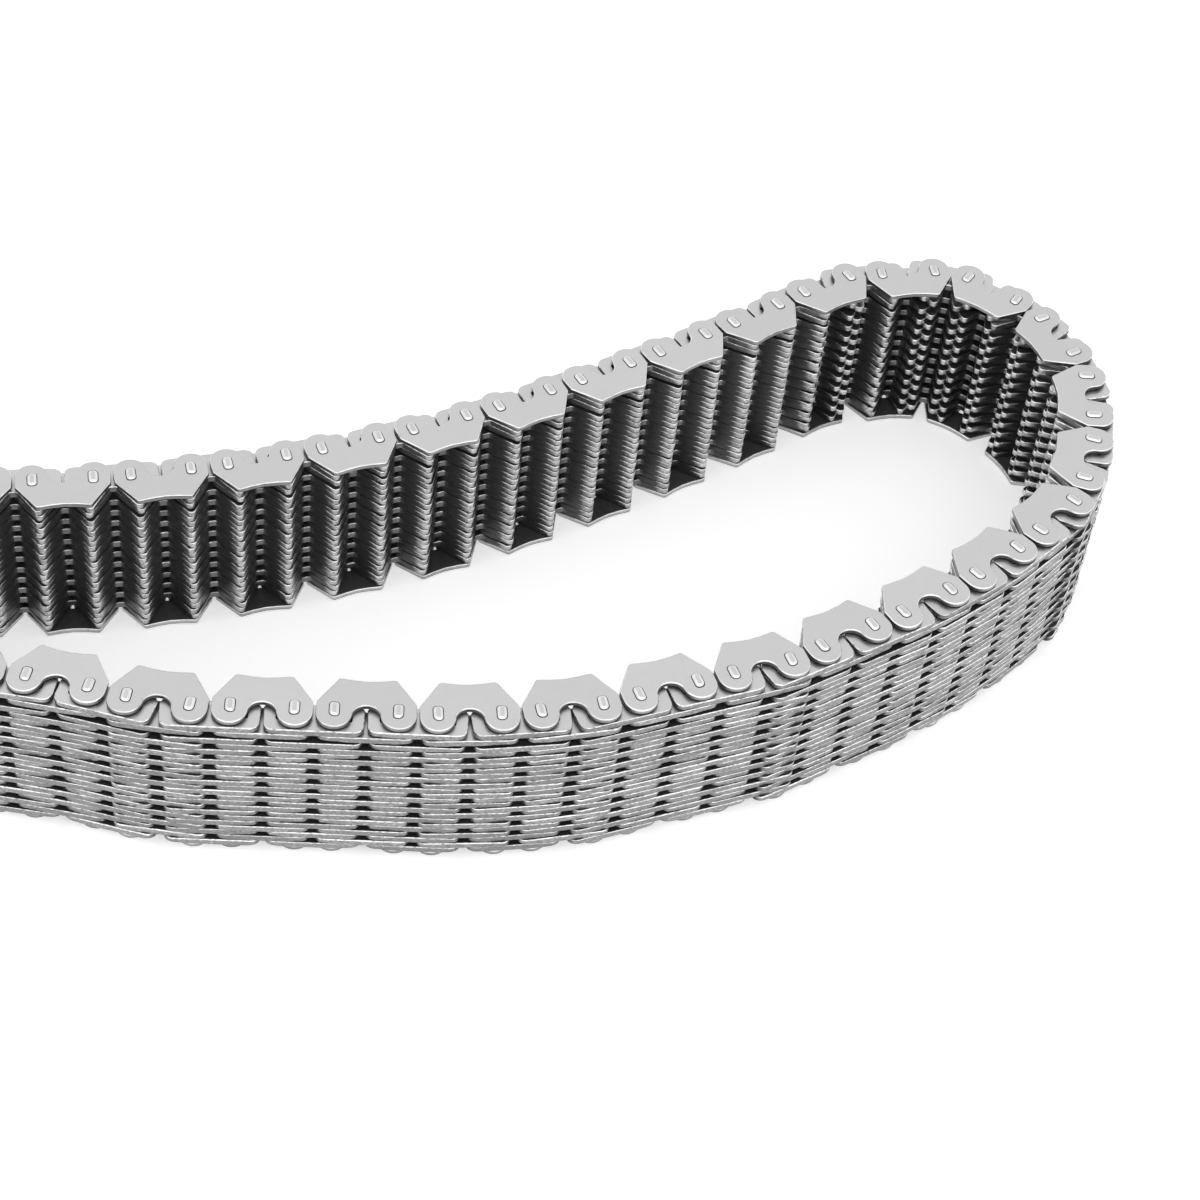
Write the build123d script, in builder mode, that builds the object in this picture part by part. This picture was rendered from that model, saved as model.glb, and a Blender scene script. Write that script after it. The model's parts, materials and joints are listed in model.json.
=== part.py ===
"""Pump drive chain: an endless inverted-tooth (silent) chain with two-piece rocker joints.

The loop lies on its side, so that every joint pin stands along +Z and the lower pin ends
rest on z = 0. Guide links and inner links take turns. A guide link is two outer guide plates,
a pack of toothed plates and two long pins riveted into the guide plates. An inner link is two
packs of toothed plates, one each side of the guide link's pack, and two shorter rockers. In each
joint a pin of the guide link and a rocker of the inner link roll on each other.
The teeth point into the loop. All lengths are in millimetres and all angles in degrees.
"""

import os
from math import cos, hypot, radians, sin, tan

import numpy as np
from build123d import *

# Pitch line: distance between joint centres, number of links in the loop
pitch = 9.525
link_count = 64
first_heading = 0.5

# Resting loop, as (joints, turn of each joint), from the joint after link 1 onwards.
# Minus turns towards the teeth, plus bends the chain backwards.
far_strand = [(12, 2.0), (7, 1.0), (1, -4.5)]
right_turn = [(1, -18.0), (1, -4.0), (2, -21.0), (4, -14.0), (3, -8.5), (1, -17.0)]
near_strand = [(5, -3.5), (2, 0.0), (1, -11.0), (3, 0.0), (1, -7.5), (3, -4.0)]
near_strand += [(4, 0.0), (2, -7.0), (1, 4.0), (2, 2.0)]
# Left turn, as (joints, first guess): the loop is closed by solving these three turns.
left_turn = [(2, -14.0), (4, -24.0), (2, -21.0)]

# Layers across the chain
plate_thickness = 1.5
guide_thickness = 1.2
layer_gap = 0.03
inner_plates_per_pack = 6
guide_plates_per_pack = 11

# Toothed plate outline; x runs along the link from its middle, y points out of the loop
end_gap = 0.35
back_height = 4.2
back_taper = 0.85
side_low = 0.6
tooth_spread = 4.8
tooth_depth = 7.4
crotch_depth = 1.9

# Guide plate outline: a lobe round each pin, a notch in the back, a shallow arch below
lobe_offset = 1.24
lobe_rise = 0.9
lobe_radius = 3.3
lobe_facet = 45.0
lobe_corners = 4
notch_half_width = 2.2
notch_floor = 1.1
shoulder_drop = 1.6
shoulder_inset = 0.1
foot_spread = 5.2
foot_depth = 7.45
arch_depth = 6.8

# Pin and rocker section, measured from the joint centre
contact_gap = 0.05
pin_reach = 2.1
pin_waist = 1.75
pin_back = 1.25
roll_bevel = 13.0
pin_stand_out = 0.4
rocker_inset = 0.2

# Clearances: round a seated pin, past a rolling rocker, and in the pivot that closes the loop
seat_gap = 0.02
roll_gap = 0.08
closing_gap = 0.3

# Links that stay together with the closing stretch of the left turn
moving_links = 58


def stretch_turns(stretches):
    """Turn of every joint in a list of (joints, turn) stretches."""
    return [turn for joints, turn in stretches for _ in range(joints)]


def lay_loop(closing_turns):
    """Joint points and link headings, for given turns of the three closing stretches."""
    closing = [(joints, turn) for (joints, _), turn in zip(left_turn, closing_turns)]
    turns = stretch_turns(far_strand + right_turn + near_strand + closing)
    heading = first_heading
    points = [(0.0, 0.0)]
    headings = []
    for turn in turns:
        x, y = points[-1]
        headings.append(heading)
        points.append((x + pitch * cos(radians(heading)), y + pitch * sin(radians(heading))))
        heading += turn
    return points, headings, heading


def loop_error(closing_turns):
    """How far the loop is from meeting its own start, in pitches and in degrees."""
    points, headings, last_heading = lay_loop(closing_turns)
    over = last_heading - first_heading + 360.0
    return np.array([points[-1][0] / pitch, points[-1][1] / pitch, over])


def close_loop():
    """Turns of the closing stretches, found by Newton's method."""
    turns = np.array([turn for _, turn in left_turn])
    step = 1e-4
    for _ in range(20):
        error = loop_error(turns)
        slopes = [(loop_error(turns + step * row) - error) / step for row in np.eye(3)]
        turns = turns - np.linalg.solve(np.array(slopes).T, error)
    return turns


def both_sides(half):
    """Closed outline from its +x half, which may start on the centre line."""
    return half + [(-x, y) for x, y in reversed(half) if x > 0]


# Sections and outlines
plate_reach = pitch - end_gap / 2
joint_x = pitch / 2

tooth_half = [
    (0.0, -crotch_depth),
    (tooth_spread, -tooth_depth),
    (plate_reach, -side_low),
    (plate_reach - back_taper, back_height),
]
tooth_outline = both_sides(tooth_half)

lobe_x = joint_x + lobe_offset
lobe_angles = [radians(k * lobe_facet) for k in range(lobe_corners)]
lobe_points = [(lobe_x + lobe_radius * cos(a), lobe_rise + lobe_radius * sin(a)) for a in lobe_angles]
guide_half = [
    (0.0, -arch_depth),
    (foot_spread, -foot_depth),
    (lobe_x + lobe_radius - shoulder_inset, -shoulder_drop),
    *lobe_points,
    (notch_half_width, -notch_floor),
]
guide_outline = both_sides(guide_half)

bevel_depth = pin_waist * tan(radians(roll_bevel))


def pin_section(side, grow, trim):
    """Pin or rocker section at the joint on one side (+1 or -1) of its own link.

    The rolling face is bevelled both ways from the joint centre. grow widens the section all
    round for a seat, and trim draws its rolling face and edges back.
    """
    face = contact_gap + trim - grow
    waist = (face + bevel_depth, pin_waist - trim + grow)
    back = (pin_reach + grow, pin_back - trim + grow)
    shape = [(face, 0.0), waist, back, (back[0], -back[1]), (waist[0], -waist[1])]
    return [(side * (joint_x + x), y) for x, y in shape]


window_slope = (pin_waist - pin_back) / (pin_reach - contact_gap - bevel_depth)
window_far = hypot(pin_reach, pin_back) + roll_gap


def window(side, room):
    """Opening of a toothed plate round one joint.

    Its outer end seats the link's own pin, and it widens inwards so that the other link's
    rocker can roll there. room is added at the joint that closes the loop.
    """
    outer = pin_reach + seat_gap
    low = pin_back + seat_gap
    high = low + (outer + window_far + room) * window_slope + room
    shape = [(outer, low), (outer, -low), (-window_far - room, -high), (-window_far - room, high)]
    return [(side * (joint_x + x), y) for x, y in shape]


# Heights of the layers, from the lower pin ends upwards
inner_pack_height = inner_plates_per_pack * (plate_thickness + layer_gap) - layer_gap
guide_pack_height = guide_plates_per_pack * (plate_thickness + layer_gap) - layer_gap
low_guide_z = pin_stand_out
low_pack_z = low_guide_z + guide_thickness + layer_gap
middle_pack_z = low_pack_z + inner_pack_height + layer_gap
top_pack_z = middle_pack_z + guide_pack_height + layer_gap
top_guide_z = top_pack_z + inner_pack_height + layer_gap
chain_width = top_guide_z + guide_thickness + pin_stand_out
rocker_z = low_pack_z + rocker_inset
rocker_height = top_pack_z + inner_pack_height - rocker_inset - rocker_z


def plate(place, z, thickness, outline, openings):
    """One flat plate or pack of plates, with its openings, standing on height z."""
    with BuildSketch(place.offset(z)) as profile:
        with BuildLine():
            Polyline(*outline, close=True)
        make_face()
        for opening in openings:
            with BuildLine():
                Polyline(*opening, close=True)
            make_face(mode=Mode.SUBTRACT)
    extrude(profile.sketch, amount=thickness)


def guide_link(place, trims):
    """Two guide plates, one pack of toothed plates and two pins. trims thins the pins."""
    seats = [pin_section(side, seat_gap, trim) for side, trim in zip((-1, 1), trims)]
    windows = [window(side, trim) for side, trim in zip((-1, 1), trims)]
    plate(place, low_guide_z, guide_thickness, guide_outline, seats)
    plate(place, middle_pack_z, guide_pack_height, tooth_outline, windows)
    plate(place, top_guide_z, guide_thickness, guide_outline, seats)
    for side, trim in zip((-1, 1), trims):
        plate(place, 0.0, chain_width, pin_section(side, 0.0, trim), [])


def inner_link(place, trims):
    """Two packs of toothed plates and two rockers. trims thins the rockers."""
    windows = [window(side, trim) for side, trim in zip((-1, 1), trims)]
    plate(place, low_pack_z, inner_pack_height, tooth_outline, windows)
    plate(place, top_pack_z, inner_pack_height, tooth_outline, windows)
    for side, trim in zip((-1, 1), trims):
        plate(place, rocker_z, rocker_height, pin_section(side, 0.0, trim), [])


# Places of the links round the closed loop, with the middle of its box at the origin
joint_points, headings, _ = lay_loop(close_loop())
middles = [((a[0] + b[0]) / 2, (a[1] + b[1]) / 2) for a, b in zip(joint_points, joint_points[1:])]
corners = [
    (mx + x * cos(radians(h)) - y * sin(radians(h)), my + x * sin(radians(h)) + y * cos(radians(h)))
    for k, ((mx, my), h) in enumerate(zip(middles, headings))
    for x, y in (tooth_outline if k % 2 else tooth_outline + guide_outline)
]
centre_x = (min(x for x, _ in corners) + max(x for x, _ in corners)) / 2
centre_y = (min(y for _, y in corners) + max(y for _, y in corners)) / 2
places = [
    Plane(
        origin=(mx - centre_x, my - centre_y, 0),
        x_dir=(cos(radians(h)), sin(radians(h)), 0),
        z_dir=(0, 0, 1),
    )
    for (mx, my), h in zip(middles, headings)
]


def joint_trims(index):
    """Extra clearance at the link's start and end: only the closing pivot has any."""
    start = closing_gap if index == moving_links else 0.0
    end = closing_gap if index == moving_links - 1 else 0.0
    return start, end


os.makedirs("parts", exist_ok=True)

# Moving links, one node each
for index in range(moving_links):
    build_link, kind = (inner_link, "inner") if index % 2 else (guide_link, "guide")
    with BuildPart() as link:
        build_link(places[index], joint_trims(index))
    link.part.label = f"{kind}_link_{index + 1:02d}"
    export_step(link.part, f"parts/{link.part.label}.step")

# Links of the closing stretch, kept as one group of each kind
with BuildPart() as held_guide_links:
    for index in range(moving_links, link_count, 2):
        guide_link(places[index], joint_trims(index))
held_guide_links.part.label = "held_guide_links"
export_step(held_guide_links.part, "parts/held_guide_links.step")

with BuildPart() as held_inner_links:
    for index in range(moving_links + 1, link_count, 2):
        inner_link(places[index], joint_trims(index))
held_inner_links.part.label = "held_inner_links"
export_step(held_inner_links.part, "parts/held_inner_links.step")
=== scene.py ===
"""Inverted-tooth silent chain lying on its side: the looks of every plate, pin and rocker."""
import cmath
import json
import math
import random

import bpy
from mathutils import Matrix, Vector
from mathutils.geometry import tessellate_polygon


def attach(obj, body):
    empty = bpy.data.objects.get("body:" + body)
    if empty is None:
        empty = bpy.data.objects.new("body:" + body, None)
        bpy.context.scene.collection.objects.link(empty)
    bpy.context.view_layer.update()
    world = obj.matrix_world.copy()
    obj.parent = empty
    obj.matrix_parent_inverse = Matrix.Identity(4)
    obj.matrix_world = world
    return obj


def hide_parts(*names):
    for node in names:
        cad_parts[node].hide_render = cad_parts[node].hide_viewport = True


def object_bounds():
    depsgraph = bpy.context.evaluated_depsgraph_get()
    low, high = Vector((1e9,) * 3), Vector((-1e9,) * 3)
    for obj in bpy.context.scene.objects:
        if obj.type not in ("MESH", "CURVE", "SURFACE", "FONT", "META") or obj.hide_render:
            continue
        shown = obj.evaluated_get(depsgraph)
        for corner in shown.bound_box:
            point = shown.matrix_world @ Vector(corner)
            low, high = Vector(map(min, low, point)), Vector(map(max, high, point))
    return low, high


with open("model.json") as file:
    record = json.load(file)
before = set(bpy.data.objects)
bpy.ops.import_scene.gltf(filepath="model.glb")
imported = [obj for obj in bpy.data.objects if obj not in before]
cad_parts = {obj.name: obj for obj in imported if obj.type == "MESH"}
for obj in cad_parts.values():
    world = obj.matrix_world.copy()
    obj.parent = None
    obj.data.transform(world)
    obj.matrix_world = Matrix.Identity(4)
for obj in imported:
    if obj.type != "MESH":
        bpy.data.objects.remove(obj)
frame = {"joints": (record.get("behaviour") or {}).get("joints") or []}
cad_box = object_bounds()
mm = 0.001

# Joint pins: two long hardened pins in each guide link, pressed through both guide plates
# and riveted there. Each has a flat side that rolls on the next link's rocker.
# Where every link lies is worked out here too, because the pins mark the joints.

pitch = 9.525 * mm
link_count = 64
moving_links = 58
held_stretches = ((2, 14.0), (4, 24.0), (2, 21.0))
layer_count = 23
low_guide_z = 0.4 * mm
guide_thickness = 1.2 * mm

pin_length = cad_box[1].z - cad_box[0].z
pin_face = 0.16 * mm
pin_reach = 2.08 * mm
pin_half_height = 1.72 * mm
pin_dome = ((0.56, 0.0), (0.4, 0.05), (0.24, 0.12), (0.11, 0.22), (0.03, 0.34), (0.0, 0.5))
pin_back_round = 0.95 * mm
pin_face_round = 0.75 * mm
pin_roll_round = 0.7125 * mm
pin_face_rise = 0.1 * mm
# The top rows of each pin head's rim carry a painted highlight; the rows below carry painted shade.
pin_rim_rows = 4
pin_rim_highlight = 0.88
pin_tone_spread = 0.05


def held_run(start, heading, turns):
    """Joint points from start on, with one turn for all the joints of each held stretch."""
    points = [start]
    for (count, _), turn in zip(held_stretches, turns):
        for _ in range(count):
            heading -= turn
            points.append(points[-1] + cmath.rect(pitch, heading))
    return points


def joint_places():
    """Plan points of all the joints: joint k ends link k, and joint 0 starts link 1.

    The links that stay still are laid in three even stretches, whose turns are first guessed
    and then found by Newton's method, so that the loop closes.
    """
    pivots = {j["name"]: complex(*j["pos_m"][:2]) for j in frame["joints"]}
    points = [pivots[f"pivot_{link_count:02d}"]]
    points += [pivots[f"pivot_{k:02d}"] for k in range(1, moving_links)]
    heading = cmath.phase(points[-1] - points[-2])

    def miss(turns):
        *_, last, beyond = held_run(points[-1], heading, turns)
        off = (last - points[0]) / pitch
        return Vector((off.real, off.imag, ((beyond - last) / (points[1] - points[0])).imag))

    turns = Vector([math.radians(guess) for _, guess in held_stretches])
    step = 0.001
    for _ in range(12):
        here = miss(turns)
        slopes = [(miss(turns + Vector(axis) * step) - here) / step for axis in Matrix.Identity(3)]
        turns -= Matrix(slopes).transposed().inverted() @ here
    points += held_run(points[-1], heading, turns)[1:-2]
    return [Vector((point.real, point.imag)) for point in points]


joints = joint_places()
link_numbers = range(1, link_count + 1)
guide_numbers = [n for n in link_numbers if n % 2]
inner_numbers = [n for n in link_numbers if not n % 2]


def link_place(number):
    """Middle of a link, its direction of travel, and the direction out of the loop."""
    start, end = joints[number - 1], joints[number % link_count]
    along = (end - start).normalized()
    return (start + end) / 2, along, Vector((-along.y, along.x))


def link_owner(number):
    """CAD node that holds a link, and the body that moves it."""
    kind = "guide" if number % 2 else "inner"
    if number > moving_links:
        return f"held_{kind}_links", "held_links"
    return f"{kind}_link_{number:02d}", f"{kind}_link_{number:02d}"


def rounded(corners, arc_step=22.0):
    """Closed outline through (x, y, radius) corners, each radius as an arc."""
    outline = []
    for k, (x, y, radius) in enumerate(corners):
        here = Vector((x, y))
        before = Vector(corners[k - 1][:2]) - here
        after = Vector(corners[(k + 1) % len(corners)][:2]) - here
        if radius == 0:
            outline.append(here)
            continue
        opening = before.angle(after)
        reach = radius / math.tan(opening / 2)
        middle = here + (before.normalized() + after.normalized()).normalized() * (
            radius / math.sin(opening / 2)
        )
        first = here + before.normalized() * reach - middle
        last = here + after.normalized() * reach - middle
        sweep = math.atan2(first.cross(last), first.dot(last))
        steps = max(2, math.ceil(abs(math.degrees(sweep)) / arc_step))
        start = math.atan2(first.y, first.x)
        for i in range(steps + 1):
            angle = start + sweep * i / steps
            outline.append(middle + radius * Vector((math.cos(angle), math.sin(angle))))
    return outline


def inset(outline, amounts):
    """The outline drawn in by an amount at each point; it runs clockwise, inside on the right.

    Where it turns by more than 120 degrees, the mitre is cut short.
    """
    drawn = []
    for k, (here, amount) in enumerate(zip(outline, amounts)):
        before = (here - outline[k - 1]).normalized()
        after = (outline[(k + 1) % len(outline)] - here).normalized()
        side_before = Vector((before.y, -before.x))
        side_after = Vector((after.y, -after.x))
        side = side_before + side_after
        drawn.append(here + side * (2 * amount / max(side.length_squared, 1.0)))
    return drawn


def rolled(thickness, roll, steps):
    """Profile of a cut edge that is rolled round above and below, as (inset, height) rows."""
    angles = [math.pi / 2 * i / steps for i in range(steps + 1)]
    rows = [(roll * (1 - math.sin(a)), thickness - roll * (1 - math.cos(a))) for a in angles]
    return rows + [(inward, thickness - z) for inward, z in reversed(rows)]


bore_break = 0.05 * mm


def blank(outline, openings, profile, painted_light):
    """One plate or pin of an outline with openings: points, faces, parts, painted light and edge
    run.

    profile(x, y) lists the (inset, height) rows there, from the upper face down the cut edge to
    the lower face. Each face comes with its part: 0 the upper face, 1 the cut edges all round,
    2 the lower face.
    The last argument, called with (x, y, row), gives the light painted on the cut edge there,
    from 0 for painted shade to 1 for painted highlight, and the edge run is how far along the
    outline and how high each point is. An opening is broken a little at its upper edge, and its
    walls get painted shade.
    """
    points, faces, parts, edge_lighting, runs = [], [], [], [], []
    loops = []
    edges = [profile(p.x / mm, p.y / mm) for p in outline]
    top, low = edges[0][0][1], edges[0][-1][1]
    bore = [(bore_break, top), (0.0, top - bore_break), (0.0, low)]
    for ring, edges in [(outline, edges)] + [(bored, [bore] * len(bored)) for bored in openings]:
        first, count, rows = len(points), len(ring), len(edges[0])
        along = [0.0]
        for here, following in zip(ring, ring[1:]):
            along.append(along[-1] + (following - here).length)
        for row in range(rows):
            drawn = inset(ring, [edge[row][0] for edge in edges])
            points += [(p.x, p.y, edge[row][1]) for p, edge in zip(drawn, edges)]
            runs += [(distance, edge[row][1]) for distance, edge in zip(along, edges)]
            if ring is outline:
                edge_lighting += [painted_light(p.x / mm, p.y / mm, row) for p in ring]
            else:
                edge_lighting += [0.0] * count
        for row in range(rows - 1):
            upper, lower = first + row * count, first + (row + 1) * count
            for k in range(count):
                n = (k + 1) % count
                faces.append((upper + k, upper + n, lower + n, lower + k))
                parts.append(1)
        loops.append((first, first + (rows - 1) * count, count))
    for end, turned in ((0, False), (1, True)):
        index = [i for loop in loops for i in range(loop[end], loop[end] + loop[2])]
        flat = [
            [Vector(points[i]) for i in range(loop[end], loop[end] + loop[2])] for loop in loops
        ]
        for corner in tessellate_polygon(flat):
            a, b, c = (index[i] for i in corner)
            pa, pb, pc = (Vector(points[i]) for i in (a, b, c))
            up = (pb - pa).cross(pc - pa).z > 0
            faces.append((a, b, c) if up != turned else (a, c, b))
            parts.append(2 if turned else 0)
    return points, faces, parts, edge_lighting, runs


run_spacing = 7 * mm
crease_angle = 50.0


def set_piece(shape, z, finish, lean=0.0, shift=0.0, rise=0.0, turn=0.0, tone=0.0):
    """One blank as lay_pieces takes it, with its underside at z.

    finish has the materials of its upper face, cut edge and lower face. lean is its rise per
    length, shift and rise move it along the link and out of the loop, turn is in radians, and
    tone shifts its grey.
    """
    return shape, z, finish, lean, shift, rise, turn, tone


def lay_pieces(name, number, laid):
    """One object of a link's like pieces.

    No two of them have the same grain, because their edge runs lie run_spacing apart.
    """
    middle, along, out = link_place(number)
    points, faces, chosen, flat, grey_level, tones, runs = [], [], [], [], [], [], []
    materials = []
    for _, _, finish, *_ in laid:
        materials += [material for material in finish if material not in materials]
    for order, (shape, z, finish, lean, shift, rise, turn, tone) in enumerate(laid):
        shape_points, shape_faces, shape_parts, edge_lighting, shape_runs = shape
        first = len(points)
        for x, y, height in shape_points:
            px = x * math.cos(turn) - y * math.sin(turn) + shift
            py = x * math.sin(turn) + y * math.cos(turn) + rise
            plan = middle + along * px + out * py
            points.append((plan.x, plan.y, z + height + lean * px))
        faces += [tuple(first + i for i in face) for face in shape_faces]
        chosen += [materials.index(finish[part]) for part in shape_parts]
        flat += [part != 1 for part in shape_parts]
        grey_level += edge_lighting
        tones += [tone] * len(edge_lighting)
        apart = (number * layer_count + order) * run_spacing
        runs += [value for distance, height in shape_runs for value in (distance, height, apart)]
    mesh = bpy.data.meshes.new(name)
    mesh.from_pydata(points, [], faces)
    # Per point, the light painted on the cut edge: painted shade at 0 up to painted highlight at 1.
    mesh.attributes.new("edge_painted_light", "FLOAT", "POINT").data.foreach_set("value", grey_level)
    mesh.attributes.new("piece_tone", "FLOAT", "POINT").data.foreach_set("value", tones)
    mesh.attributes.new("edge_run", "FLOAT_VECTOR", "POINT").data.foreach_set("vector", runs)
    for material in materials:
        mesh.materials.append(material)
    mesh.polygons.foreach_set("material_index", chosen)
    mesh.shade_smooth()
    mesh.set_sharp_from_angle(angle=math.radians(crease_angle))
    mesh.polygons.foreach_set("use_smooth", [not even for even in flat])
    piece = bpy.data.objects.new(name, mesh)
    bpy.context.scene.collection.objects.link(piece)
    node, body = link_owner(number)
    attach(piece, body)
    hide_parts(node)


# Shared by all the steels: blue beside red and green, the fineness of the clouds, how far the
# gloss swings, a flat face's plain grey, how metallic a cut edge is where dark shade is painted,
# and the level of painted light from which a cut edge is fully metallic.
blue_share = 0.995
cloud_scale = 300.0
gloss_swing = 0.1
plain_level = 0.5
shaded_edge_metal = 0.3
full_metal_from = 0.4


def steel(
    name, greys, clouding, brushing, roughness, grain, grain_depth, along_edge=0.0, face_metal=1.0
):
    """Bare steel in three greys: dark for painted shade, plain, and bright for painted highlight.

    A cut edge takes its grey from the painted light in its edge attribute, painted shade where it
    is low and painted highlight where it is high, and its grain is drawn out along_edge times as
    long as wide. A flat face, where along_edge is 0, takes the plain grey. piece_tone shifts the
    grey, and it varies by the share clouding in wide clouds and by the share brushing in the fine
    grain. The last argument is how metallic a flat face is. A cut edge is less metallic where
    shade is painted.
    """
    material = bpy.data.materials.new(name)
    material.use_nodes = True
    nodes, links = material.node_tree.nodes, material.node_tree.links
    shader = nodes["Principled BSDF"]
    shader.inputs["Metallic"].default_value = face_metal
    place = nodes.new("ShaderNodeTexCoord")
    clouds = nodes.new("ShaderNodeTexNoise")
    clouds.inputs["Scale"].default_value = cloud_scale
    clouds.inputs["Detail"].default_value = 3.0
    links.new(place.outputs["Object"], clouds.inputs["Vector"])
    fine = nodes.new("ShaderNodeTexNoise")
    fine.inputs["Scale"].default_value = grain
    fine.inputs["Detail"].default_value = 4.0
    if along_edge:
        edge_run = nodes.new("ShaderNodeAttribute")
        edge_run.attribute_name = "edge_run"
        drawn = nodes.new("ShaderNodeMapping")
        drawn.inputs["Scale"].default_value = (1.0, along_edge, 1.0)
        links.new(edge_run.outputs["Vector"], drawn.inputs["Vector"])
        links.new(drawn.outputs["Vector"], fine.inputs["Vector"])
    else:
        links.new(place.outputs["Object"], fine.inputs["Vector"])
    tone = nodes.new("ShaderNodeAttribute")
    tone.attribute_name = "piece_tone"
    grey_level = nodes.new("ShaderNodeMath")
    links.new(tone.outputs["Fac"], grey_level.inputs[0])
    grey_level.inputs[1].default_value = plain_level
    if along_edge:
        # Cut edges: painted shade where the edge attribute is low, painted highlight where it is
        # high.
        painted_light = nodes.new("ShaderNodeAttribute")
        painted_light.attribute_name = "edge_painted_light"
        grey_level.operation = "MULTIPLY_ADD"
        links.new(painted_light.outputs["Fac"], grey_level.inputs[1])
        links.new(painted_light.outputs["Fac"], grey_level.inputs[2])
    level = grey_level.outputs["Value"]
    for noise, amount in ((clouds, clouding), (fine, brushing)):
        swing = nodes.new("ShaderNodeMath")
        swing.operation = "MULTIPLY_ADD"
        swing.inputs[1].default_value = 2 * amount
        swing.inputs[2].default_value = 1 - amount
        links.new(noise.outputs["Fac"], swing.inputs[0])
        varied = nodes.new("ShaderNodeMath")
        varied.operation = "MULTIPLY"
        links.new(level, varied.inputs[0])
        links.new(swing.outputs["Value"], varied.inputs[1])
        level = varied.outputs["Value"]
    if along_edge:
        metalness = nodes.new("ShaderNodeMapRange")
        metalness.inputs["From Max"].default_value = full_metal_from
        metalness.inputs["To Min"].default_value = shaded_edge_metal
        links.new(painted_light.outputs["Fac"], metalness.inputs["Value"])
        links.new(metalness.outputs["Result"], shader.inputs["Metallic"])
    colours = nodes.new("ShaderNodeValToRGB")
    ramp = colours.color_ramp.elements
    ramp.new(0.5)
    for k, grey in enumerate(greys):
        ramp[k].color = (grey, grey, grey * blue_share, 1.0)
    links.new(level, colours.inputs["Fac"])
    links.new(colours.outputs["Color"], shader.inputs["Base Color"])
    gloss = nodes.new("ShaderNodeMapRange")
    gloss.inputs["To Min"].default_value = roughness - gloss_swing
    gloss.inputs["To Max"].default_value = roughness + gloss_swing
    links.new(fine.outputs["Fac"], gloss.inputs["Value"])
    links.new(gloss.outputs["Result"], shader.inputs["Roughness"])
    bump = nodes.new("ShaderNodeBump")
    bump.inputs["Strength"].default_value = 1.0
    bump.inputs["Distance"].default_value = grain_depth
    links.new(fine.outputs["Fac"], bump.inputs["Height"])
    links.new(bump.outputs["Normal"], shader.inputs["Normal"])
    return material


pin_steel = steel(
    "pin_steel", (0.03, 0.4, 0.92), clouding=0.1, brushing=0.12, roughness=0.26,
    grain=2200.0, grain_depth=0.003 * mm, along_edge=1.0,
)
pin_end_steel = steel(
    "pin_end_steel", (0.52, 0.62, 0.7), clouding=0.24, brushing=0.4, roughness=0.32,
    grain=1500.0, grain_depth=0.006 * mm,
)
pin_corners = [
    (pin_face, pin_half_height, pin_roll_round),
    (pin_reach, pin_half_height, pin_back_round),
    (pin_reach, -pin_half_height, pin_face_round),
    (pin_face, pin_face_rise - pin_half_height, pin_face_round),
]


def pin_outline(side, shrink=0.0, corners=pin_corners):
    """Section of a pin at the joint on one side (+1 or -1) of its own link, drawn in by shrink."""
    section = rounded(corners)
    shape = inset(section, [shrink] * len(section))
    placed = [Vector((side * (pitch / 2 + p.x), p.y)) for p in shape]
    return placed if side > 0 else placed[::-1]


def pin_painted_light(x, y, row):
    """Painted highlight round the rims of the riveted ends, and painted shade below them and on the
    length between.
    """
    from_end = min(row, 2 * len(pin_dome) - 1 - row)
    return pin_rim_highlight if from_end < pin_rim_rows else 0.0


wander = random.Random(21)


def strayed(most):
    """A number picked by chance, at most this far either side of 0."""
    return wander.uniform(-most, most)


pin_finish = (pin_end_steel, pin_steel, pin_end_steel)
upper_dome = [(inward * mm, pin_length - drop * mm) for inward, drop in pin_dome]
pin_profile = upper_dome + [(inward, pin_length - z) for inward, z in reversed(upper_dome)]
pin_blanks = [
    blank(pin_outline(side), [], lambda x, y: pin_profile, pin_painted_light) for side in (-1, 1)
]
for number in guide_numbers:
    laid = [set_piece(pin, 0.0, pin_finish, tone=strayed(pin_tone_spread)) for pin in pin_blanks]
    lay_pieces(f"joint_pins_{number:02d}", number, laid)

# Rockers: two shorter pins in each inner link, of the same hardened steel. They end under the
# guide plates, and the guide link's pins roll on them when the joint bends.

layer_gap = 0.03 * mm
rocker_inset = 0.2 * mm
rocker_edge = 0.1 * mm
# Each rocker's cut edge has an even dark grey all along.
rocker_edge_grey = 0.1
rocker_z = low_guide_z + guide_thickness + layer_gap + rocker_inset
rocker_length = pin_length - 2 * rocker_z

# The rolling face is bevelled both ways from its middle, clear of the pin that rolls on it.
bevel_back = 0.6 * mm
bevel_round = 0.5 * mm
rolling_face = 0.1 * mm
rolling_round = 1.5 * mm

rocker_profile = rolled(rocker_length, rocker_edge, 1)
rocker_corners = [
    (bevel_back, pin_half_height, bevel_round),
    (pin_reach, pin_half_height, pin_back_round),
    (pin_reach, -pin_half_height, pin_face_round),
    (bevel_back, -pin_half_height, bevel_round),
    (rolling_face, 0.0, rolling_round),
]
rocker_blanks = [
    blank(
        pin_outline(side, corners=rocker_corners),
        [],
        lambda x, y: rocker_profile,
        lambda x, y, row: rocker_edge_grey,
    )
    for side in (-1, 1)
]
for number in inner_numbers:
    laid = [set_piece(rocker, rocker_z, pin_finish) for rocker in rocker_blanks]
    lay_pieces(f"rockers_{number:02d}", number, laid)

# Toothed plates: stamped steel, 23 layers across the chain, which belong to inner links and
# guide links in turn. Punching leaves a rolled upper edge and a sheared, brushed cut edge.

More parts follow.
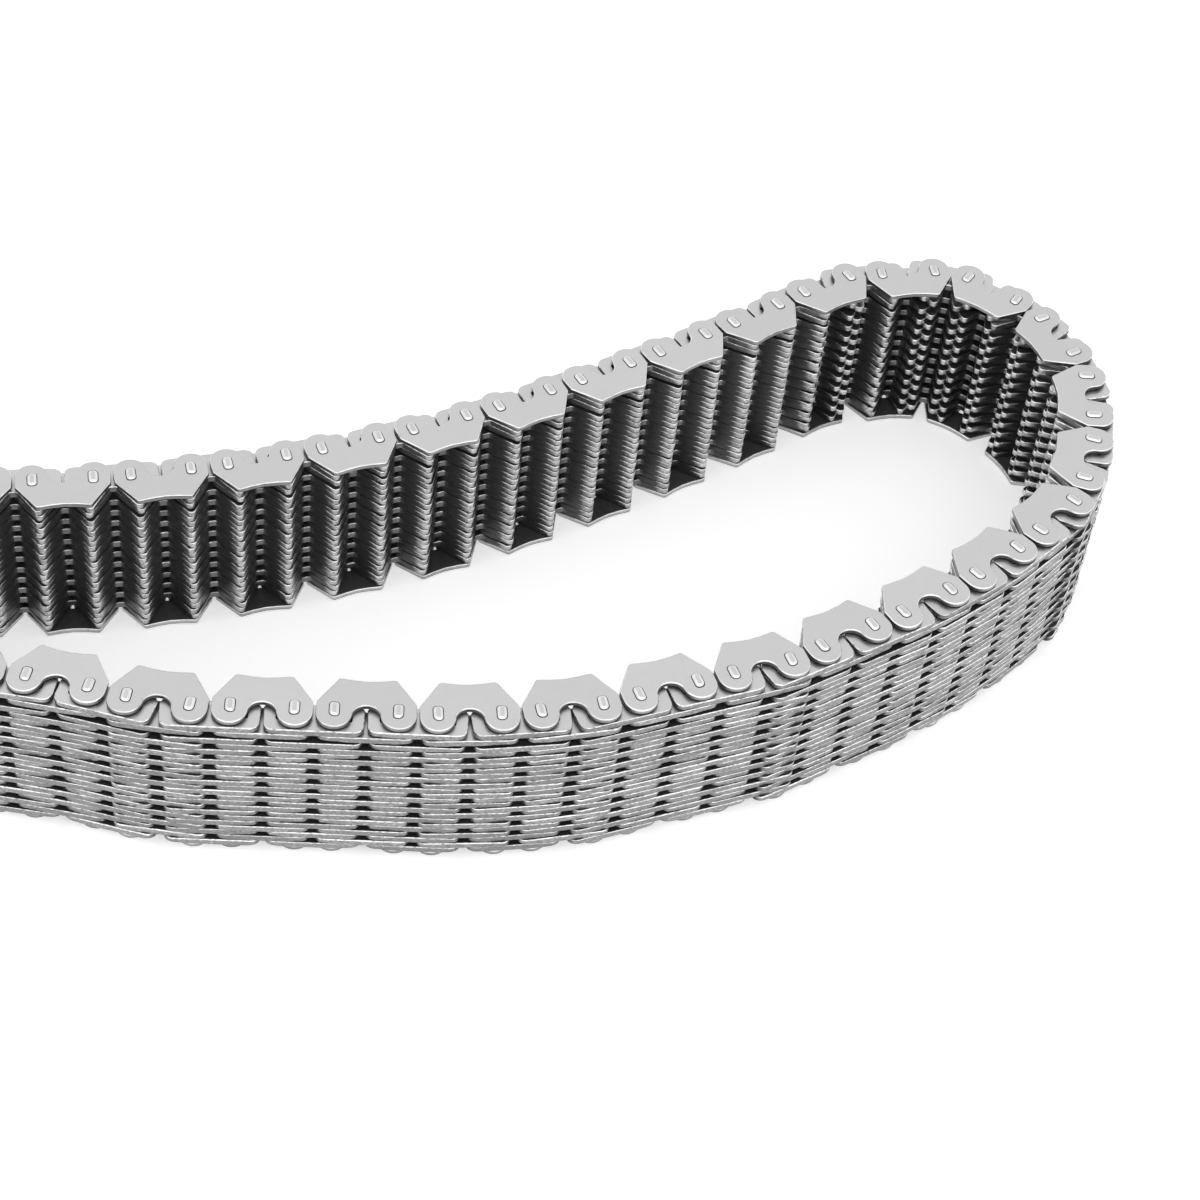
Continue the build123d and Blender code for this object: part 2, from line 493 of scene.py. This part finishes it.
plate_thickness = 1.445 * mm
layer_height = 1.5 * mm
end_gap = 0.35 * mm
plate_reach = pitch - end_gap / 2
back_reach = plate_reach - 0.2 * mm
back_height = 4.4 * mm
end_round = 1.8 * mm
side_low, side_round = -0.95 * mm, 0.3 * mm
tip_x, tip_y, tip_round = 4.75 * mm, -8.1 * mm, 0.9 * mm
crotch_x, crotch_y, crotch_round = 0.8 * mm, -1.95 * mm, 0.7 * mm


def mirrored(corners):
    """The corners of an outline's other half, in the order in which the outline runs on."""
    return [(-x, y, radius) for x, y, radius in reversed(corners)]


plate_half = [
    (plate_reach, side_low, side_round),
    (tip_x, tip_y, tip_round),
    (crotch_x, crotch_y, crotch_round),
]
plate_corners = plate_half + mirrored(plate_half)
plate_corners += [(-back_reach, back_height, end_round), (back_reach, back_height, end_round)]
plate_face_steel = steel(
    "plate_face_steel", (0.54, 0.6, 0.66), clouding=0.24, brushing=0.24, roughness=0.34,
    grain=1100.0, grain_depth=0.008 * mm,
)
# Dark steel with painted shade, for the faces that lie between the layers of toothed plates.
shaded_face_steel = steel(
    "shaded_face_steel", (0.02, 0.045, 0.09), clouding=0.4, brushing=0.4, roughness=0.5,
    grain=900.0, grain_depth=0.01 * mm, face_metal=0.35,
)
plate_edge_steel = steel(
    "plate_edge_steel", (0.055, 0.36, 0.98), clouding=0.2, brushing=1.2, roughness=0.36,
    grain=1500.0, grain_depth=0.014 * mm, along_edge=4.0,
)


def window(side):
    """Opening round one joint: a seat for the link's own pin, widening for the other link's."""
    far, seat, low, wide = -2.85 * mm, 2.25 * mm, 1.9 * mm, 2.65 * mm
    radius = 0.5 * mm
    corners = [(seat, low, radius), (seat, -low, radius), (far, -wide, radius), (far, wide, radius)]
    shape = [Vector((side * (pitch / 2 + p.x), p.y)) for p in rounded(corners, arc_step=45.0)]
    return shape[::-1] if side > 0 else shape


def divided(outline, longest):
    """The outline with its long straight runs divided, so that painted light can change along them.
    """
    whole = []
    for k, here in enumerate(outline):
        following = outline[(k + 1) % len(outline)]
        parts = max(1, math.ceil((following - here).length / longest))
        whole += [here.lerp(following, i / parts) for i in range(parts)]
    return whole


def faded(value, full, none):
    """1 where value has reached full, 0 where it has reached none, and even between them."""
    return max(0.0, min(1.0, (value - none) / (full - none)))


# Painted light on each row of a plate's cut edge, from the upper face down: three rows of the
# rolled rim with painted highlight, two of the wall, and two of the broken lower edge with
# painted shade. The last value is the painted shade that the flanks keep.
back_rows = (0.7, 0.9, 0.85, 0.45, 0.45, 0.1, 0.0)
crotch_rows = (0.5, 0.6, 0.6, 0.24, 0.24, 0.3, 0.05)
tip_rows = (0.9, 1.0, 1.0, 0.65, 0.55, 0.1, 0.0)
upper_plate_rows = (0.6, 0.85, 0.8, 0.25, 0.15, 0.0, 0.0)
plate_rim_rows = 3
flank_shade = 0.03


def plate_painted_light(x, y, row):
    """Painted highlight on the backs and tooth tips, painted shade on the flanks and plate ends."""
    if y > -1.2:
        return back_rows[row] * faded(y, 4.2, 3.4)
    if abs(x) < 1.15:
        return crotch_rows[row]
    near_tip = faded(-y, 5.8, 4.8) if row < plate_rim_rows else faded(-y, 6.5, 5.5)
    return tip_rows[row] * near_tip + flank_shade


def upper_plate_painted_light(x, y, row):
    """The two plates under the upper guide plates get painted highlight on their rims all round."""
    return max(plate_painted_light(x, y, row), upper_plate_rows[row])


rim_drop = 0.06 * mm
tip_lift = 0.14 * mm
lower_break = ((0.0, 0.14 * mm, 0.0), (0.03 * mm, 0.06 * mm, 0.3))
foot_inset, foot_draw = 0.1 * mm, 2.0


def plate_profile(roll, corners, shaving):
    """Edge of a punched plate: a rolled rim above, a straight wall, a small break below.

    corners tells, for the ends at -x and at +x, how high punching draws the lower edge up at the
    corner of the back, and from how far along the back it starts. It is drawn up a little at the
    tips of the teeth too. The flanks are shaved, and shaving is the share of their rounding that
    comes off.
    """
    upper = rolled(plate_thickness, roll, 2)[:plate_rim_rows]
    upper += [(0.0, plate_thickness - roll - rim_drop)]

    def rows(x, y):
        height, length = corners[x > 0]
        past = (abs(x) * mm - (plate_reach - end_round)) / mm
        lift = height * faded(past, 0.4, -length) * faded(y, 1.0, 0.0) * mm
        lift += tip_lift * faded(-y, 6.2, 4.8)
        lower = [(inward + draw * lift, z + lift) for inward, z, draw in lower_break]
        whole = upper + lower + [(foot_inset + foot_draw * lift, 0.0)]
        shaved = min(faded(-y, 2.0, 1.2), faded(y, -5.2, -6.0)) if abs(x) > 1.2 else 0.0
        return [(inward * (1 - shaving * shaved), z) for inward, z in whole]

    return rows


shading_step = 0.9 * mm
plate_outline = divided(rounded(plate_corners), shading_step)

# Four punches, each with the round of its rim and the (height, length) drawn up at both corners.
punchings = (
    (0.10 * mm, ((0.34, 3.6), (0.24, 1.6))),
    (0.14 * mm, ((0.28, 2.0), (0.36, 4.4))),
    (0.18 * mm, ((0.2, 1.0), (0.3, 2.6))),
    (0.12 * mm, ((0.38, 5.5), (0.16, 0.8))),
)
flank_shaving, upper_shaving = 0.75, 0.1
toothed_plates, upper_plates = (
    [
        blank(plate_outline, [window(1), window(-1)], plate_profile(roll, corners, shaving), painted_light)
        for roll, corners in punchings
    ]
    for painted_light, shaving in ((plate_painted_light, flank_shaving), (upper_plate_painted_light, upper_shaving))
)

stack_slack = (layer_count + 1) * layer_gap + layer_count * (layer_height - plate_thickness)
least_share = 0.4
upper_extra, lower_extra = 7.0, 1.0
stack_waves = 5


def stack(spread):
    """Undersides of all the layers, with the slack between them shared out unevenly.

    The most lies two plates in from the upper guide plate, and a little more than elsewhere two
    plates in from the lower one.
    """
    shares = [
        least_share + (1 - least_share) * spread.random() ** 4 for _ in range(layer_count + 1)
    ]
    shares[-3] += upper_extra
    shares[2] += lower_extra
    heights, z = [], low_guide_z + guide_thickness
    for share in shares[:-1]:
        z += stack_slack * share / sum(shares)
        heights.append(z)
        z += plate_thickness
    return heights


stacks = [stack(random.Random(seed)) for seed in (3, 8)]


def layer_z(layer, number):
    """Underside of a toothed plate's layer, counted from 1 at the bottom, in one link.

    It goes over from one stack to the other and back in stack_waves waves round the loop.
    """
    lean = 0.5 + 0.5 * math.sin(number * 2 * math.pi * stack_waves / link_count)
    one, other = (heights[layer - 1] for heights in stacks)
    return one + (other - one) * lean


# Free play of one toothed plate on its pins: rise per length, shifts in mm, turn in degrees.
plate_lean, plate_along, plate_out, plate_turn, plate_tone = 0.0012, 0.02, 0.12, 0.3, 0.14


def toothed_layers(number, layers):
    """The toothed plates of one link, each a little out of line with the next."""
    return [
        set_piece(
            wander.choice(upper_plates if layer >= layer_count - 1 else toothed_plates),
            layer_z(layer, number),
            # Painted shade on the faces between the layers: only the upper faces of the two top
            # layers and the lower faces of the two bottom layers keep the plain grey.
            (
                plate_face_steel if layer >= layer_count - 1 else shaded_face_steel,
                plate_edge_steel,
                plate_face_steel if layer <= 2 else shaded_face_steel,
            ),
            lean=strayed(plate_lean),
            shift=strayed(plate_along) * mm,
            rise=strayed(plate_out) * mm,
            turn=math.radians(strayed(plate_turn)),
            tone=strayed(plate_tone),
        )
        for layer in layers
    ]


for number in link_numbers:
    first_layer, kind = (2, "guide") if number % 2 else (1, "inner")
    laid = toothed_layers(number, range(first_layer, layer_count + 1, 2))
    lay_pieces(f"toothed_plates_{number:02d}", number, laid)

# Guide plates: the two outer plates of a guide link. They have no teeth, a lobe round each pin
# and a notch between the lobes, and they keep the chain from sliding off its sprockets.

guide_edge = 0.22 * mm
pin_seat_gap = 0.03 * mm
lobe_top = 4.2 * mm
lobe_round = 3.267 * mm
lobe_inner, lobe_outer = 3.0 * mm, 9.38 * mm
notch_x, notch_floor, notch_round = 2.4 * mm, -1.04 * mm, 2.65 * mm

guide_sides = [(9.2 * mm, -1.75 * mm, 0.6 * mm), (5.25 * mm, -7.55 * mm, 0.8 * mm)]
guide_arch = [(0.0, -6.72 * mm, 16.0 * mm)]
lobe = [(lobe_inner, lobe_top, lobe_round), (lobe_outer, lobe_top, lobe_round)]
notch = [(-notch_x, notch_floor, notch_round), (notch_x, notch_floor, notch_round)]
guide_corners = guide_sides + guide_arch + mirrored(guide_sides) + mirrored(lobe) + notch + lobe
guide_outline = rounded(guide_corners, arc_step=12.0)
guide_seats = [pin_outline(side, -pin_seat_gap)[::-1] for side in (-1, 1)]
guide_face_steel = steel(
    "guide_face_steel", (0.52, 0.6, 0.66), clouding=0.16, brushing=0.2, roughness=0.34,
    grain=1300.0, grain_depth=0.005 * mm,
)
# Dark steel with painted shade, for the faces of the guide plates that are turned to the toothed
# plates.
inner_face_steel = steel(
    "inner_face_steel", (0.035, 0.08, 0.14), clouding=0.4, brushing=0.4, roughness=0.45,
    grain=900.0, grain_depth=0.01 * mm, face_metal=0.35,
)
guide_edge_steel = steel(
    "guide_edge_steel", (0.015, 0.3, 0.9), clouding=0.15, brushing=0.35, roughness=0.3,
    grain=1100.0, grain_depth=0.01 * mm, along_edge=5.0,
)

# Painted light on each row of the cut edge: four rows of the rolled rim with painted highlight,
# then the wall and the broken lower edge, which ends in painted shade.
guide_rows = (0.7, 0.9, 1.0, 0.7, 0.55, 0.5, 0.0, 0.0)
guide_rim_rows = 4
# Painted shade on the notch walls; painted highlight on the slanted walls of the lower guide plates
# and painted shade on those of the upper ones.
notch_shade = 0.2
lower_flank_light, upper_flank_light = 1.1, 0.1


def guide_painted_light(flank):
    """Painted light on a guide plate's cut edge: painted highlight on the rims, and on the walls
    where they face outwards or the teeth; painted shade on the other walls and the broken lower
    edge.

    flank is how much painted highlight the walls of the slanted sides get.
    """

    def painted_light(x, y, row):
        if row < guide_rim_rows:
            return guide_rows[row]
        back, foot = faded(y, 3.7, 2.6), faded(-y, 6.4, 5.4)
        side = flank * faded(-y, 1.8, 0.6)
        in_notch = notch_shade if abs(x) < 2.6 and y > -2.0 else 0.0
        return guide_rows[row] * max(back, foot, side, in_notch)

    return painted_light


# The rolled rim, then the wall, whose upper part with painted highlight is narrow, and the broken
# lower edge.
bright_wall = 0.1 * mm
guide_profile = rolled(guide_thickness, guide_edge, 3)[:guide_rim_rows]
guide_profile += [(0.0, guide_thickness - guide_edge - bright_wall), (0.0, 0.34 * mm)]
guide_profile += [(0.1 * mm, 0.15 * mm), (0.28 * mm, 0.0)]
lower_guide_plate, upper_guide_plate = (
    blank(guide_outline, guide_seats, lambda x, y: guide_profile, guide_painted_light(flank))
    for flank in (lower_flank_light, upper_flank_light)
)
top_guide_z = pin_length - low_guide_z - guide_thickness
guide_pair = (
    (lower_guide_plate, low_guide_z, (inner_face_steel, guide_edge_steel, guide_face_steel)),
    (upper_guide_plate, top_guide_z, (guide_face_steel, guide_edge_steel, inner_face_steel)),
)
# Shift in mm, turn in degrees and tone by which one guide plate differs from the next.
guide_out, guide_turn, guide_tone = 0.04, 0.3, 0.1
for number in guide_numbers:
    laid = [
        set_piece(
            shape,
            z,
            finish,
            rise=strayed(guide_out) * mm,
            turn=math.radians(strayed(guide_turn)),
            tone=strayed(guide_tone),
        )
        for shape, z, finish in guide_pair
    ]
    lay_pieces(f"guide_plates_{number:02d}", number, laid)

# Table and studio: a flat white table that the chain lies on, with a white room round it, one
# broad soft lamp overhead and another in front.

table_size = 6.0
# White to the camera, and grey for the light that it throws back at the chain.
table_grey_seen, table_grey_to_chain = 0.95, 0.5
# Its own glow, as the camera sees it and as shiny steel does.
glow_seen, glow_reflected = 0.45, 0.6
# The room, as it is seen and as it lights the chain.
room_seen, room_light = 1.0, 0.6
bpy.ops.mesh.primitive_grid_add(x_subdivisions=2, y_subdivisions=2, size=table_size)
table = bpy.context.object
table.name = "table"
table.location.z = cad_box[0].z


def seen_directly(nodes, links):
    """1 for what the camera, a shiny surface or a clear one sees, and 0 for the light itself."""
    rays = nodes.new("ShaderNodeLightPath")
    total = rays.outputs["Is Camera Ray"]
    for kind in ("Is Glossy Ray", "Is Transmission Ray"):
        larger = nodes.new("ShaderNodeMath")
        larger.operation = "MAXIMUM"
        links.new(total, larger.inputs[0])
        links.new(rays.outputs[kind], larger.inputs[1])
        total = larger.outputs["Value"]
    return total


white_table = bpy.data.materials.new("white_table")
white_table.use_nodes = True
nodes, links = white_table.node_tree.nodes, white_table.node_tree.links
surface = nodes["Principled BSDF"]
surface.inputs["Roughness"].default_value = 0.9
surface.inputs["Emission Color"].default_value = (1.0, 1.0, 1.0, 1.0)
rays = nodes.new("ShaderNodeLightPath")
colour = nodes.new("ShaderNodeMapRange")
colour.inputs["To Min"].default_value = table_grey_to_chain
colour.inputs["To Max"].default_value = table_grey_seen
links.new(rays.outputs["Is Camera Ray"], colour.inputs["Value"])
links.new(colour.outputs["Result"], surface.inputs["Base Color"])
reflected = nodes.new("ShaderNodeMapRange")
reflected.inputs["To Min"].default_value = glow_reflected
reflected.inputs["To Max"].default_value = glow_seen
links.new(rays.outputs["Is Camera Ray"], reflected.inputs["Value"])
glow = nodes.new("ShaderNodeMath")
glow.operation = "MULTIPLY"
links.new(reflected.outputs["Result"], glow.inputs[0])
links.new(seen_directly(nodes, links), glow.inputs[1])
links.new(glow.outputs["Value"], surface.inputs["Emission Strength"])
table.data.materials.append(white_table)

room = bpy.data.worlds.new("white_room")
bpy.context.scene.world = room
room.use_nodes = True
nodes, links = room.node_tree.nodes, room.node_tree.links
sky = nodes["Background"]
sky.inputs["Color"].default_value = (1.0, 1.0, 1.0, 1.0)
level = nodes.new("ShaderNodeMapRange")
level.inputs["To Min"].default_value = room_light
level.inputs["To Max"].default_value = room_seen
links.new(seen_directly(nodes, links), level.inputs["Value"])
links.new(level.outputs["Result"], sky.inputs["Strength"])


middle_of_chain = (0.0, 0.0, 0.02)


def soft_lamp(name, place, size, watts):
    """A square lamp at place, turned to the middle of the chain."""
    light = bpy.data.lights.new(name, "AREA")
    light.size = size
    light.energy = watts
    lamp = bpy.data.objects.new(name, light)
    lamp.location = place
    aim = Vector(middle_of_chain) - Vector(place)
    lamp.rotation_euler = aim.to_track_quat("-Z", "Y").to_euler()
    bpy.context.scene.collection.objects.link(lamp)


soft_lamp("overhead_lamp", (-0.15, -0.25, 0.9), 1.3, 2.6)
soft_lamp("front_lamp", (0.5, -0.9, 0.55), 1.4, 2.5)

# Camera: high in front of the chain, with the left end of the loop outside the picture. Its place
# is told from the first joint, and its turns are in degrees.

camera_from_joint = (67.014 * mm, -402.097 * mm, 445.29 * mm)
camera_turns = (42.484, -4.551, -4.22)
camera_data = bpy.data.cameras.new("camera")
camera_data.sensor_width = 36.0
camera_data.lens = 86.79
camera = bpy.data.objects.new("camera", camera_data)
camera.location = joints[0].to_3d() + Vector(camera_from_joint)
camera.rotation_euler = [math.radians(turn) for turn in camera_turns]
camera_data.clip_start, camera_data.clip_end = 0.01, 20.0
bpy.context.scene.collection.objects.link(camera)
bpy.context.scene.camera = camera
bpy.context.scene.view_settings.view_transform = "Standard"
